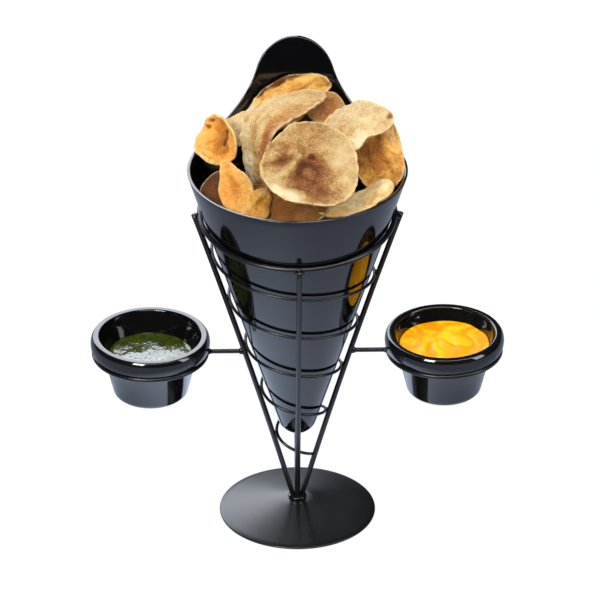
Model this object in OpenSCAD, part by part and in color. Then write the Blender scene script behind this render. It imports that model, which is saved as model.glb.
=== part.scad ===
// Appetizer cone: a wire stand with a glossy cone liner, two dip ramekins on arms, and its food.
// Millimetres, +Z up. The origin is the middle of the base plate, on the table. The front is -Y.

/* [Base plate] */
// Radius of the round base plate
base_r = 51; // [42:1:65]
// Height of the level centre that the uprights stand on
base_h = 10; // [6:0.5:14]
// Thickness of the base's sheet
base_sheet = 1.5; // [1:0.1:2.5]
// Width of the flat foot under the base's edge
base_foot_w = 4; // [2:0.5:8]
// Radius of the level centre
base_centre_r = 8; // [7:0.5:14]

/* [Wire cone] */
// Diameter of the uprights' wire
upright_d = 3.5; // [3:0.1:4.6]
// How far each upright bows in towards the axis
upright_bow = 1.5; // [0.5:0.1:4]
// Radius of the side uprights at their top ends
cone_top_r = 66.2; // [60:0.2:74]
// Height of the side uprights' top ends
cone_top_z = 221; // [205:0.5:240]
// Diameter of the top ring's wire
ring_d = 3.5; // [3:0.1:5]
// How far the top ring lies below the uprights' ends
ring_drop = 0.5; // [0:0.5:6]
// How far the top ring tips down at the front, and up at the back
ring_tip = 7.5; // [0:0.5:10]
// Diameter of the spiral's wire
spiral_d = 2; // [1.5:0.1:3]
// Turns of the spiral
spiral_turns = 4.75; // [2.75:1:6.75]
// How far the spiral's upper end lies below the top ring
spiral_drop = 16.5; // [13:0.5:26]
// Height of the spiral's lower end
spiral_low_z = 42; // [36:1:60]

/* [Cone liner] */
// Angle between the liner's wall and its axis
liner_taper = 17.5; // [16:0.25:18.5]
// Thickness of the liner's wall
liner_wall = 2.2; // [1.5:0.1:3]
// Radius of the liner's rounded tip
liner_tip_r = 13; // [9:0.5:15]
// Height of the liner's rim above the top ring's sides
rim_rise = 32.5; // [24:0.5:48]
// Height of the back tab above the rim
tab_rise = 51.5; // [40:0.5:60]
// Radius of the tab's rounded top
tab_cap_r = 26; // [20:0.5:30]
// Radius of the sweep from the tab down into the rim
tab_sweep_r = 48; // [38:1:50]

/* [Ramekins] */
// Distance of each ramekin from the cone's axis
ramekin_reach = 95; // [84:1:120]
// Height of the holder rings and arms
holder_z = 120; // [100:1:150]
// Diameter of the holder rings' wire
holder_d = 3; // [2.4:0.1:4]
// Diameter of the arms' wire
arm_d = 3; // [2.4:0.1:3.4]
// Height of a ramekin
ramekin_h = 43; // [34:1:56]
// Radius of the rolled collar at its widest
collar_r = 38.6; // [35:0.2:46]
// Height of the rolled collar
collar_h = 11; // [8:0.5:14]
// How far the collar bulges past its edges
collar_bulge = 1.3; // [0.6:0.1:2]
// Width of the flat rim around the mouth
rim_w = 4.6; // [3.5:0.1:6]
// Thickness of a ramekin's wall below its collar
ramekin_wall = 2.6; // [2:0.1:4]
// Radius of a ramekin's outside at its foot
foot_r = 24.5; // [20:0.5:28]
// Thickness of a ramekin's floor
floor_t = 4; // [2.5:0.5:6]

/* [Food] */
// Depth of the green dip below the rim
green_depth = 14.5; // [8:0.5:24]
// Depth of the yellow dip below the rim
yellow_depth = 9; // [7:0.5:24]
// Thickness of a potato chip in its middle
chip_t = 1.6; // [1.2:0.1:1.8]

/* [Hidden] */
// Gap left at every weld, and between the liner, ramekins and dips and what holds them
weld_gap = 0.05;
seat_gap = 0.15;
// How far a cut runs past what it cuts
overrun = 1;
// Steps along an arc of an outline, along a small rounded edge, and along the arc of an upright
arc_steps = 12;
round_steps = 4;
upright_steps = 32;
$fn = 72;

wire_black = "#202226";
gloss_black = "#15161a";
chip_gold = "#d9a557";

// Uprights, evenly spaced around the axis, counted from the right
UPRIGHT_NAMES = ["upright_right", "upright_back", "upright_left", "upright_front"];
function upright_angle(i) = 360 * i / len(UPRIGHT_NAMES);
// Side of the cone on which each ramekin hangs
SIDES = [["left", -1], ["right", 1]];
// Chips in the liner. Sizes and places are shares of the radius of the liner's mouth, and the places
// are measured from the middle of the mouth. Each row holds a name, the half width and half length,
// the place, the tilt, turn and spin, the bend, the share of the width that bends, the edge's wave
// and where it starts, and the outline's eight shares, one every 45 degrees.
CHIP_SHARES = [
    ["chip_bed_back", [0.46, 0.44], [0.09, 0.49, -0.48], [27, -84, 89], 22, 1, 0, 0,
        [1, 0.95, 1.05, 1, 0.95, 1, 0.95, 1.05]],
    ["chip_bed_front", [0.4, 0.36], [-0.17, -0.505, -0.535], [23, 67, -45], 20, 1, 0, 0,
        [1.05, 1, 0.95, 1, 1, 0.95, 1.05, 1]],
    ["chip_top", [0.46, 0.25], [-0.13, 0.725, 0.29], [24, -141, 154], -26, 1, 0.05, 200,
        [0.95, 1.5, 1.25, 1.1, 0.9, 1, 1, 0.95]],
    ["chip_behind", [0.18, 0.18], [0.28, 0.59, 0.315], [45, -67, 135], 15, 1, 0, 0,
        [1, 0.95, 1, 1.05, 1, 0.95, 1, 1.05]],
    ["chip_back_left", [0.22, 0.17], [-0.54, 0.6, 0.1], [36, -122, 132], 20, 1, 0, 0,
        [1, 1.05, 0.95, 1, 1, 0.95, 1, 1]],
    ["chip_arch", [0.68, 0.24], [-0.34, 0.195, 0.37], [47, -156, -171], -47, 0.4, 0, 0,
        [1.1, 1.35, 1.05, 1.1, 1, 1.1, 1.15, 1.1]],
    ["chip_curl", [0.28, 0.25], [-0.73, 0.415, 0.065], [48, -134, 170], 60, 0.6, 0, 0,
        [1, 1.05, 1, 0.9, 1, 1.1, 1, 0.95]],
    ["chip_golden", [0.25, 0.42], [0.72, 0, 0.225], [66, -89, 106], 20, 1, 0, 0,
        [1, 1.05, 1, 0.95, 1, 1.05, 1, 1.05]],
    ["chip_edge", [0.37, 0.16], [0.555, -0.35, -0.17], [19, -155, 169], 20, 1, 0, 0,
        [1, 1.05, 0.85, 0.7, 1.05, 1, 0.95, 1.1]],
    ["chip_pale", [0.3, 0.33], [0.535, -0.145, 0.5], [24, -122, 79], -20, 1, 0, 0,
        [0.55, 1.15, 1, 1.15, 1.25, 1.1, 0.8, 0.75]],
    ["chip_shade", [0.18, 0.19], [-0.735, -0.25, -0.075], [32, -114, 119], 12, 1, 0, 0,
        [1, 1.05, 1, 0.9, 1, 1, 1, 0.95]],
    ["chip_under", [0.31, 0.2], [-0.015, -0.405, -0.165], [40, -92, 90], 12, 1, 0, 0,
        [1, 0.95, 1, 1.05, 1.1, 1.1, 1, 1]],
    ["chip_pale_low", [0.18, 0.15], [0.37, -0.24, -0.2], [31, -75, 85], 10, 1, 0, 0,
        [0.95, 1, 1.05, 1, 1, 0.95, 1, 1.05]],
    ["chip_sliver", [0.11, 0.05], [-0.385, -0.1, -0.15], [27, -52, 73], 10, 1, 0, 0,
        [1, 1.05, 1, 1, 1, 1.05, 1, 0.95]],
    ["chip_leaf", [0.18, 0.265], [-0.595, -0.33, -0.01], [55, -99, 116], 35, 1, 0, 0,
        [1, 0.8, 1.05, 0.7, 0.8, 0.95, 1, 1.05]],
    ["chip_corner", [0.17, 0.165], [-0.415, -0.525, -0.085], [44, -75, 83], -25, 1, 0, 0,
        [1, 1.25, 0.75, 0.7, 0.95, 1, 1, 1]],
    ["chip_round", [0.47, 0.455], [0.105, -0.455, 0.305], [35, -87, 86], 18, 1, 0.05, 40,
        [0.95, 0.93, 1, 0.86, 0.95, 1.05, 0.97, 1.08]]];

// Points along an arc of an outline
function arc(centre, r, from, to, steps = arc_steps) =
    [for (i = [0 : steps]) let (a = from + (to - from) * i / steps) centre + r * [cos(a), sin(a)]];

// Uprights: each is an arc in a plane through the axis, from its foot on the base to its top end.
// The feet stand as close together as their wires allow.
foot_spread_share = 0.75;
upright_foot = [foot_spread_share * upright_d, base_h + weld_gap];
upright_top = [cone_top_r, cone_top_z];
upright_chord = norm(upright_top - upright_foot);
upright_lean = atan2(upright_top.x - upright_foot.x, upright_top.y - upright_foot.y);
upright_arc_r = (pow(upright_chord / 2, 2) + pow(upright_bow, 2)) / (2 * upright_bow);
upright_sweep = 2 * asin(upright_chord / 2 / upright_arc_r);
upright_centre = (upright_foot + upright_top) / 2
    + (upright_arc_r - upright_bow) * [cos(upright_lean), -sin(upright_lean)];

// Radius of an upright's centreline, and its lean from the vertical, at a height
function upright_r_at(z) = upright_centre.x - sqrt(pow(upright_arc_r, 2) - pow(z - upright_centre.y, 2));
function upright_lean_at(z) = asin((z - upright_centre.y) / upright_arc_r);
// Radius of a wire's centreline that is welded inside the uprights at a height
function inside_r_at(z, wire_d) =
    upright_r_at(z) - ((upright_d + wire_d) / 2 + weld_gap) / cos(upright_lean_at(z));

// Top ring: it lies inside the uprights and is tipped down at the front.
ring_z = cone_top_z - ring_drop;
function ring_z_at(angle) = ring_z + ring_tip * sin(angle);
function ring_point(angle) = let (r = inside_r_at(ring_z_at(angle), ring_d))
    [r * cos(angle), r * sin(angle), ring_z_at(angle)];

// Liner: it hangs with its wall on the ring, wherever the two come closest.
function liner_seat_r_at(z) = inside_r_at(z, ring_d) - (ring_d / 2 + seat_gap) / cos(liner_taper);
liner_apex_z = max([for (angle = [-90, 0, 90]) let (z = ring_z_at(angle))
    z - liner_seat_r_at(z) / tan(liner_taper)]);
liner_rim_z = ring_z + rim_rise;
liner_tab_z = liner_rim_z + tab_rise;
liner_tip_z = liner_apex_z + liner_tip_r / sin(liner_taper);
function liner_r_at(z) = (z - liner_apex_z) * tan(liner_taper);

// Tab: its top arc and its two sweeps are tangent, and each sweep ends level with the rim.
tab_cap_z = liner_tab_z - tab_cap_r;
tab_sweep_z = liner_rim_z + tab_sweep_r;
tab_sweep_x = sqrt(pow(tab_cap_r + tab_sweep_r, 2) - pow(tab_sweep_z - tab_cap_z, 2));
tab_turn = atan2(tab_sweep_z - tab_cap_z, tab_sweep_x);

// Ramekins: the collar's underside rests on the holder ring.
ramekin_z = holder_z + holder_d / 2 + seat_gap + collar_h - ramekin_h;
collar_edge_r = collar_r - collar_bulge;
collar_z = ramekin_h - collar_h;
collar_arc_r = (pow(collar_h / 2, 2) + pow(collar_bulge, 2)) / (2 * collar_bulge);
collar_turn = asin(collar_h / 2 / collar_arc_r);
mouth_r = collar_edge_r - rim_w;
holder_r = collar_edge_r - holder_d / 2 + collar_bulge / 2;

module base_plate() {
    lip = base_sheet / 2;
    color(wire_black) rotate_extrude() polygon(concat(
        [[0, base_h - base_sheet], [base_centre_r, base_h - base_sheet], [base_r - base_foot_w, 0]],
        arc([base_r - lip, lip], lip, -90, 90),
        [[base_r - base_foot_w, base_sheet], [base_centre_r, base_h], [0, base_h]]));
}

// One bowed upright's wire in the plane of X and Z, up to a height, with its foot cut level
module upright_wire(d, top_z) {
    top_lean = upright_lean_at(top_z);
    sweep = top_lean - upright_lean_at(upright_foot.y) + asin(upright_d / upright_arc_r);
    difference() {
        translate([upright_centre.x, 0, upright_centre.y]) rotate([90, 0, 0]) rotate([0, 0, 180 - top_lean])
            rotate_extrude(angle = sweep, $fn = upright_steps * 360 / upright_sweep)
                translate([upright_arc_r, 0]) circle(d = d);
        translate([-base_r, -base_r, upright_foot.y - 2 * base_r]) cube(2 * base_r);
    }
}

module upright(angle) {
    color(wire_black) rotate([0, 0, angle]) upright_wire(upright_d, ring_z_at(angle) + ring_drop);
}

module wire_ring(r, d) {
    rotate_extrude() translate([r, 0]) circle(d = d);
}

// Round wire swept along a row of points around the axis, with flat ends or closed into a loop
wire_sides = 10;
wire_turn_steps = 32;
function unit(v) = v / norm(v);
module swept_wire(path, d, loop) {
    count = len(path);
    rings = [for (i = [0 : count - 1]) let (
        before = path[loop ? (i + count - 1) % count : max(i - 1, 0)],
        after = path[loop ? (i + 1) % count : min(i + 1, count - 1)],
        along = unit(after - before),
        out = unit(cross(along, cross([path[i].x, path[i].y, 0], along))),
        up = cross(along, out))
        [for (k = [0 : wire_sides - 1]) let (a = 360 * k / wire_sides)
            path[i] + d / 2 * (cos(a) * out + sin(a) * up)]];
    points = [for (ring = rings) each ring];
    sides = [for (i = [0 : count - (loop ? 1 : 2)], k = [0 : wire_sides - 1]) let (
        k2 = (k + 1) % wire_sides,
        here = i * wire_sides,
        next = (i + 1) % count * wire_sides) [here + k, next + k, next + k2, here + k2]];
    first_end = [for (k = [0 : wire_sides - 1]) k];
    last_end = [for (k = [wire_sides - 1 : -1 : 0]) (count - 1) * wire_sides + k];
    polyhedron(points, loop ? sides : concat(sides, [first_end, last_end]), convexity = 10);
}

module top_ring() {
    steps = 2 * wire_turn_steps;
    color(wire_black) swept_wire([for (i = [0 : steps - 1]) ring_point(360 * i / steps)], ring_d, true);
}

// Spiral: it winds down the inside of the uprights, from the back one to the right one.
spiral_steps = round(wire_turn_steps * spiral_turns);
spiral_top_z = ring_z - spiral_drop;
function spiral_point(t) = let (
    a = upright_angle(1) + 360 * spiral_turns * t,
    z = spiral_top_z + (spiral_low_z - spiral_top_z) * t,
    r = inside_r_at(z, spiral_d)) [r * cos(a), r * sin(a), z];

module spiral_wire() {
    color(wire_black)
        swept_wire([for (i = [0 : spiral_steps]) spiral_point(i / spiral_steps)], spiral_d, false);
}

// Arm: a straight wire, coped at one end to its upright and at the other to its holder ring
module arm(side) {
    start = upright_r_at(holder_z);
    color(wire_black) mirror([side < 0 ? 1 : 0, 0, 0]) difference() {
        translate([start, 0, holder_z]) rotate([0, 90, 0])
            cylinder(d = arm_d, h = ramekin_reach - holder_r - start);
        upright_wire(upright_d + 2 * weld_gap, cone_top_z);
        translate([ramekin_reach, 0, holder_z]) wire_ring(holder_r, holder_d + 2 * weld_gap);
    }
}

module holder_ring(side) {
    color(wire_black) translate([side * ramekin_reach, 0, holder_z]) wire_ring(holder_r, holder_d);
}

// Liner's wall from its tip to a height, as an outline beside the axis
function liner_outline(inset, top_z) = let (
    r = liner_tip_r - inset,
    edge = [r * cos(liner_taper), liner_tip_z - r * sin(liner_taper)],
    top_r = liner_r_at(top_z) - inset / cos(liner_taper))
    concat(arc([0, liner_tip_z], r, -90, -liner_taper), [[top_r, top_z]]);

// Outline of the back tab, seen from the front, down to the rim
function tab_outline() = let (
    right_sweep = arc([tab_sweep_x, tab_sweep_z], tab_sweep_r, -90, -180 + tab_turn),
    cap = arc([0, tab_cap_z], tab_cap_r, tab_turn, 180 - tab_turn, 2 * arc_steps),
    left_sweep = arc([-tab_sweep_x, tab_sweep_z], tab_sweep_r, -tab_turn, -90))
    concat(right_sweep, cap, left_sweep);

module cone_liner() {
    inside = liner_outline(liner_wall, liner_tab_z);
    outside = liner_outline(0, liner_tab_z);
    reach = liner_r_at(liner_tab_z) + overrun;
    color(gloss_black) difference() {
        rotate_extrude() polygon(concat(outside, [for (i = [len(inside) - 1 : -1 : 0]) inside[i]]));
        difference() {
            translate([-reach, -reach, liner_rim_z]) cube([2 * reach, 2 * reach, tab_rise + overrun]);
            translate([0, reach + overrun, 0]) rotate([90, 0, 0])
                linear_extrude(reach + overrun) polygon(tab_outline());
        }
    }
}

// Ramekin's inside, from the middle of its floor to a height, as an outline beside its axis.
// A dip that fills it takes the same outline, a little smaller.
floor_r = foot_r - 2 * ramekin_wall;
bowl_r = 2 * ramekin_wall;
neck_r = mouth_r - ramekin_wall / 2;
rim_round_share = 0.25;
rim_round_r = rim_round_share * rim_w;
function bowl_r_at(z) = floor_r
    + (mouth_r - floor_r) * (z - floor_t - bowl_r) / (ramekin_h - floor_t - bowl_r);
function bowl_outline(gap, top_z) = let (
    lean = atan2(mouth_r - floor_r, ramekin_h - floor_t - bowl_r))
    concat([[0, floor_t + gap]],
        arc([floor_r - bowl_r, floor_t + bowl_r], bowl_r - gap, -90, -lean),
        [[bowl_r_at(top_z) - gap / cos(lean), top_z]]);

module ramekin(side) {
    bowl = bowl_outline(0, ramekin_h - rim_round_r);
    lean = atan2(neck_r - foot_r, collar_z - bowl_r);
    color(gloss_black) translate([side * ramekin_reach, 0, ramekin_z]) rotate_extrude() polygon(concat(
        [[0, 0]],
        arc([foot_r - bowl_r, bowl_r], bowl_r, -90, -lean),
        [[neck_r, collar_z]],
        arc([collar_r - collar_arc_r, collar_z + collar_h / 2], collar_arc_r, -collar_turn, collar_turn / 2),
        arc([collar_edge_r - rim_round_r, ramekin_h - rim_round_r], rim_round_r, 45, 90, round_steps),
        arc([mouth_r + rim_round_r, ramekin_h - rim_round_r], rim_round_r, 90, 180, round_steps),
        [for (i = [len(bowl) - 1 : -1 : 0]) bowl[i]]));
}

module dip(side, depth, tint) {
    color(tint) translate([side * ramekin_reach, 0, ramekin_z]) rotate_extrude()
        polygon(concat(bowl_outline(seat_gap, ramekin_h - depth), [[0, ramekin_h - depth]]));
}

module green_dip() { dip(-1, green_depth, "#5d6a22"); }
module yellow_dip() { dip(1, yellow_depth, "#f2a81d"); }

// Chip: a thin slice with its own outline, bent about the line along its middle
mouth_inner_r = liner_r_at(liner_rim_z) - liner_wall / cos(liner_taper);
chip_sides = 20;
chip_ring_shares = [0.3, 0.58, 0.82, 1];
chip_thin_share = 0.4;
chip_waves = 3;

// Smooth outline through a chip's shares
function chip_outline(a, shares) = let (
    t = len(shares) * a / 360,
    f = t - floor(t),
    p = [for (k = [-1 : 2]) shares[(floor(t) + k + len(shares)) % len(shares)]])
    p[1] + f / 2 * (p[2] - p[0] + f * (2 * p[0] - 5 * p[1] + 4 * p[2] - p[3]
        + f * (3 * (p[1] - p[2]) + p[3] - p[0])));

// A point of a chip's upper face (side 1) or lower face (side -1), at a share of the way to its edge
function chip_point(c, out, a, side) = let (
    half = mouth_inner_r * c[1],
    edge = out * chip_outline(a, c[8]),
    x = half.x * edge * cos(a),
    y = half.y * edge * sin(a),
    fold = c[5] * half.x,
    bent = max(-fold, min(fold, x)),
    bend = c[4] * bent / fold,
    bend_r = fold * 180 / PI / c[4],
    lift = c[6] * half.x * out * out * sin(chip_waves * a + c[7])
        + side * chip_t / 2 * (1 - chip_thin_share * pow(out, 4)))
    [bend_r * sin(bend) + (x - bent) * cos(bend) - lift * sin(bend),
     y,
     bend_r * (1 - cos(bend)) + (x - bent) * sin(bend) + lift * cos(bend)];

module chip(c) {
    rings = len(chip_ring_shares);
    face = 1 + rings * chip_sides;
    points = [for (side = [1, -1]) each concat([chip_point(c, 0, 0, side)],
        [for (out = chip_ring_shares, k = [0 : chip_sides - 1]) chip_point(c, out, 360 * k / chip_sides, side)])];
    triangles = [for (k = [0 : chip_sides - 1]) let (k2 = (k + 1) % chip_sides) each concat(
        [[0, 1 + k2, 1 + k], [face, face + 1 + k, face + 1 + k2]],
        [for (j = [0 : rings - 2]) let (
            here = 1 + j * chip_sides,
            next = here + chip_sides) each [
                [here + k, next + k2, next + k], [here + k, here + k2, next + k2],
                [face + here + k, face + next + k, face + next + k2],
                [face + here + k, face + next + k2, face + here + k2]]],
        let (last = 1 + (rings - 1) * chip_sides)
            [[last + k, last + k2, face + last + k2], [last + k, face + last + k2, face + last + k]])];
    color(chip_gold) translate([0, 0, liner_rim_z] + mouth_inner_r * c[2])
        rotate([0, c[3].x, c[3].y]) rotate([0, 0, c[3].z]) polyhedron(points, triangles, convexity = 4);
}

base_plate();
for (i = [0 : len(UPRIGHT_NAMES) - 1]) upright(upright_angle(i));
top_ring();
spiral_wire();
for (s = SIDES) arm(s[1]);
for (s = SIDES) holder_ring(s[1]);
cone_liner();
for (s = SIDES) ramekin(s[1]);
green_dip();
yellow_dip();
for (c = CHIP_SHARES) chip(c);
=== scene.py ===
"""Looks of the appetizer cone: a black wire stand with a glossy cone liner, dip ramekins, dips and chips."""
import math

import bmesh
import bpy
from mathutils import Matrix, Vector, noise


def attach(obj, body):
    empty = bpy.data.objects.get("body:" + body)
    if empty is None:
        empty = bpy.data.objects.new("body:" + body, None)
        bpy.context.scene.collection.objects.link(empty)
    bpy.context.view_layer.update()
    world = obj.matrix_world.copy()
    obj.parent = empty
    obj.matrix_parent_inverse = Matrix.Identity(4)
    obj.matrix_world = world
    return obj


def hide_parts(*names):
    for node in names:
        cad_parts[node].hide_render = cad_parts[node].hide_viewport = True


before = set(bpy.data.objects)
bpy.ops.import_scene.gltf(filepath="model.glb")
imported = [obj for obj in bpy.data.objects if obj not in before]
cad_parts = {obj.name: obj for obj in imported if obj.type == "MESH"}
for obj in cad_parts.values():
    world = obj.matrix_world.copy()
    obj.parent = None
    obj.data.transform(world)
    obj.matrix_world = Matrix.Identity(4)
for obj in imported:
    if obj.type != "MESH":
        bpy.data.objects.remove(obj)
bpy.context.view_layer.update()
scene = bpy.context.scene
MM = 0.001

# Sizes in millimetres, the spiral's turns and the cone's taper, the same as in the part's source
BASE_R, BASE_H, BASE_SHEET, BASE_FOOT, BASE_CENTRE_R = 51, 10, 1.5, 4, 8
UPRIGHT_D, RING_D, SPIRAL_D, HOLDER_D, ARM_D = 3.5, 3.5, 2, 3, 3
UPRIGHT_BOW, WELD_GAP, SEAT_GAP = 1.5, 0.05, 0.15
CONE_TOP_R, RING_Z, RING_DROP, RING_TIP = 66.2, 220.5, 0.5, 7.5
SPIRAL_TURNS, SPIRAL_TOP_Z, SPIRAL_LOW_Z = 4.75, 204, 42
TAPER, LINER_WALL, TIP_R = math.radians(17.5), 2.2, 13
RIM_Z, TAB_Z, TAB_CAP_R, TAB_SWEEP_R = 253, 304.5, 26, 48
REACH, HOLDER_Z, RAMEKIN_H = 95, 120, 43
COLLAR_R, COLLAR_H, COLLAR_BULGE, RIM_W = 38.6, 11, 1.3, 4.6
RAMEKIN_WALL, FOOT_R, FLOOR_T = 2.6, 24.5, 4
GREEN_DEPTH, YELLOW_DEPTH = 14.5, 9
CHIP_T = 1.6

# Small sizes of the looks alone, in millimetres, and the share of a chip's thickness that its slice has
BASE_SOFTENING, LINER_EDGE_ROUND, CHIP_EDGE_ROUND = 3.4, 0.5, 0.4
COLLAR_UNDERCUT, COLLAR_LOW_ROUND = 0.6, 0.9
CHIP_SKIN_SHARE = 0.85
BLISTER_H, BUBBLE_H, PIMPLE_H, SWELL_H, EDGE_CURL_H, GRAIN_H = 0.9, 1.4, 0.6, 1.4, 1.0, 0.25

# Curve of an upright in the plane of its radius and height
upright_foot = Vector((0.75 * UPRIGHT_D, BASE_H + WELD_GAP))
upright_top = Vector((CONE_TOP_R, RING_Z + RING_DROP))
upright_chord = (upright_top - upright_foot).length
upright_arc_r = ((upright_chord / 2) ** 2 + UPRIGHT_BOW ** 2) / (2 * UPRIGHT_BOW)
upright_lean = math.atan2(upright_top.x - upright_foot.x, upright_top.y - upright_foot.y)
upright_centre = (upright_foot + upright_top) / 2 + (upright_arc_r - UPRIGHT_BOW) * Vector(
    (math.cos(upright_lean), -math.sin(upright_lean)))


def upright_r(z):
    """Radius of an upright's middle line at a height."""
    return upright_centre.x - math.sqrt(upright_arc_r ** 2 - (z - upright_centre.y) ** 2)


def inside_r(z, d):
    """Radius of the middle line of a wire that is welded inside the uprights at a height."""
    lean = math.asin((z - upright_centre.y) / upright_arc_r)
    return upright_r(z) - ((UPRIGHT_D + d) / 2 + WELD_GAP) / math.cos(lean)


def ring_z(a):
    """Height of the tipped top ring's middle line in one direction."""
    return RING_Z + RING_TIP * math.sin(a)


def liner_seat_r(z):
    """Radius of the liner's outside where it would touch the ring at a height."""
    return inside_r(z, RING_D) - (RING_D / 2 + SEAT_GAP) / math.cos(TAPER)


APEX_Z = max(z - liner_seat_r(z) / math.tan(TAPER) for z in (RING_Z - RING_TIP, RING_Z, RING_Z + RING_TIP))
TIP_Z = APEX_Z + TIP_R / math.sin(TAPER)
RAMEKIN_Z = HOLDER_Z + HOLDER_D / 2 + SEAT_GAP + COLLAR_H - RAMEKIN_H
COLLAR_EDGE_R = COLLAR_R - COLLAR_BULGE
MOUTH_R = COLLAR_EDGE_R - RIM_W
HOLDER_R = COLLAR_EDGE_R - HOLDER_D / 2 + COLLAR_BULGE / 2


def liner_r(z):
    """Radius of the liner's outside at a height."""
    return (z - APEX_Z) * math.tan(TAPER)


CONE_MOUTH_R = liner_r(RIM_Z) - LINER_WALL / math.cos(TAPER)


# Shader maths: a socket with operators, and one method for any other node

class Value:
    """A socket of a node tree, with the operators that its maths needs."""

    def __init__(self, nodes, socket):
        self.nodes = nodes
        self.socket = socket

    def maths(self, operation, *others, clamp=False):
        return self.nodes.node("ShaderNodeMath", {"operation": operation, "use_clamp": clamp},
                               {i: v for i, v in enumerate((self, *others))})

    def __add__(self, other):
        return self.maths("ADD", other)

    def __sub__(self, other):
        return self.maths("SUBTRACT", other)

    def __mul__(self, other):
        return self.maths("MULTIPLY", other)

    def __rsub__(self, other):
        return self.nodes.node("ShaderNodeMath", {"operation": "SUBTRACT"}, {0: other, 1: self})

    __radd__ = __add__
    __rmul__ = __mul__

    def clamped(self):
        return self.maths("ADD", 0.0, clamp=True)

    def ramp(self, low, high):
        """0 below low and 1 above high, smooth between."""
        return self.nodes.node("ShaderNodeMapRange", {"interpolation_type": "SMOOTHSTEP"},
                               {"Value": self, "From Min": low, "From Max": high})


class Nodes:
    """A node tree, emptied, with one method for any node."""

    def __init__(self, owner):
        owner.use_nodes = True
        self.tree = owner.node_tree
        self.tree.nodes.clear()

    def node(self, kind, settings, sockets, output=0):
        made = self.tree.nodes.new(kind)
        for key, value in settings.items():
            setattr(made, key, value)
        for key, value in sockets.items():
            if isinstance(value, Value):
                self.tree.links.new(value.socket, made.inputs[key])
            else:
                made.inputs[key].default_value = value
        return Value(self, made.outputs[output])

    def ray(self, kind):
        """1 for one kind of light ray, 0 for the others."""
        return self.node("ShaderNodeLightPath", {}, {}, kind)

    def mix_shader(self, factor, first, second):
        return self.node("ShaderNodeMixShader", {}, {0: factor, 1: first, 2: second})

    def show(self, output, shader):
        """Ends the tree with a shader."""
        self.tree.links.new(shader.socket, self.tree.nodes.new(output).inputs["Surface"])


class Finish(Nodes):
    """A procedural material on Object coordinates."""

    def __init__(self, name):
        self.material = bpy.data.materials.new(name)
        super().__init__(self.material)
        self.place = self.node("ShaderNodeTexCoord", {}, {}, "Object")

    def noise(self, scale, detail=3.0, roughness=0.55, shift=(0, 0, 0), stretch=(1, 1, 1), twist=0.0):
        where = self.node("ShaderNodeMapping", {},
                          {"Vector": self.place, "Location": shift, "Scale": stretch})
        return self.node("ShaderNodeTexNoise", {}, {"Vector": where, "Scale": scale, "Detail": detail,
                                                    "Roughness": roughness, "Distortion": twist})

    def cells(self, scale):
        return self.node("ShaderNodeTexVoronoi", {"feature": "F1"}, {"Vector": self.place, "Scale": scale})

    def attribute(self, name):
        return self.node("ShaderNodeAttribute", {"attribute_name": name}, {}, "Fac")

    def mix(self, factor, first, second):
        """A colour between two colours."""
        colours = {6: first, 7: second}
        sockets = {i: c if isinstance(c, Value) else (*c, 1) for i, c in colours.items()}
        return self.node("ShaderNodeMix", {"data_type": "RGBA"}, {0: factor, **sockets}, 2)

    def bump(self, height, strength, distance):
        return self.node("ShaderNodeBump", {}, {"Height": height, "Strength": strength, "Distance": distance},
                         "Normal")

    def surface(self, **sockets):
        """The finished material, with its Principled sockets named with underscores for spaces."""
        named = {k.replace("_", " "): v for k, v in sockets.items()}
        return self.shown(self.node("ShaderNodeBsdfPrincipled", {}, named))

    def shown(self, shader):
        self.show("ShaderNodeOutputMaterial", shader)
        return self.material


def powder_coat(name, rough):
    """Satin black powder coat with a fine pebbled skin."""
    f = Finish(name)
    pebble = f.noise(900, 2.0)
    broad = f.noise(45, 3.0)
    colour = f.mix(broad.ramp(0.35, 0.7), (0.003, 0.0034, 0.0045), (0.005, 0.0056, 0.0072))
    return f.surface(Base_Color=colour, Roughness=rough + 0.1 * broad, IOR=1.5, Specular_IOR_Level=0.5,
                     Normal=f.bump(pebble, 0.02, 0.0003))


def gloss_black(name, tint_low, tint_high, rough):
    """High gloss moulded black with a faint flow in its skin and light wear."""
    f = Finish(name)
    flow = f.noise(16, 2.0, stretch=(1, 1, 0.5))
    hairs = f.noise(240, 4.0, stretch=(1, 1, 0.08)).ramp(0.6, 0.85)
    colour = f.mix(flow.ramp(0.3, 0.75), tint_low, tint_high)
    shine = rough + 0.05 * flow + 0.03 * hairs
    return f.surface(Base_Color=colour, Roughness=shine, IOR=1.68, Normal=f.bump(flow, 0.04, 0.002))


def herb_sauce():
    """Wet green sauce: dark olive body, darker herb flakes and pale specks, with a broken wet shine."""
    f = Finish("herb_sauce")
    body = f.noise(150, 4.0, 0.6)
    flakes = f.cells(520)
    grain = f.noise(800, 3.0)
    colour = f.mix(body.ramp(0.35, 0.7), (0.026, 0.044, 0.004), (0.068, 0.092, 0.011))
    colour = f.mix(flakes.ramp(0.38, 0.2) * grain.ramp(0.4, 0.6), colour, (0.012, 0.024, 0.004))
    colour = f.mix(grain.ramp(0.66, 0.76), colour, (0.3, 0.32, 0.12))
    height = body * 0.08 + grain * 0.6
    return f.surface(Base_Color=colour, Roughness=0.06 + 0.12 * grain, IOR=1.5,
                     Normal=f.bump(height, 0.15, 0.001), Coat_Weight=0.8, Coat_Roughness=0.05)


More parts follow.
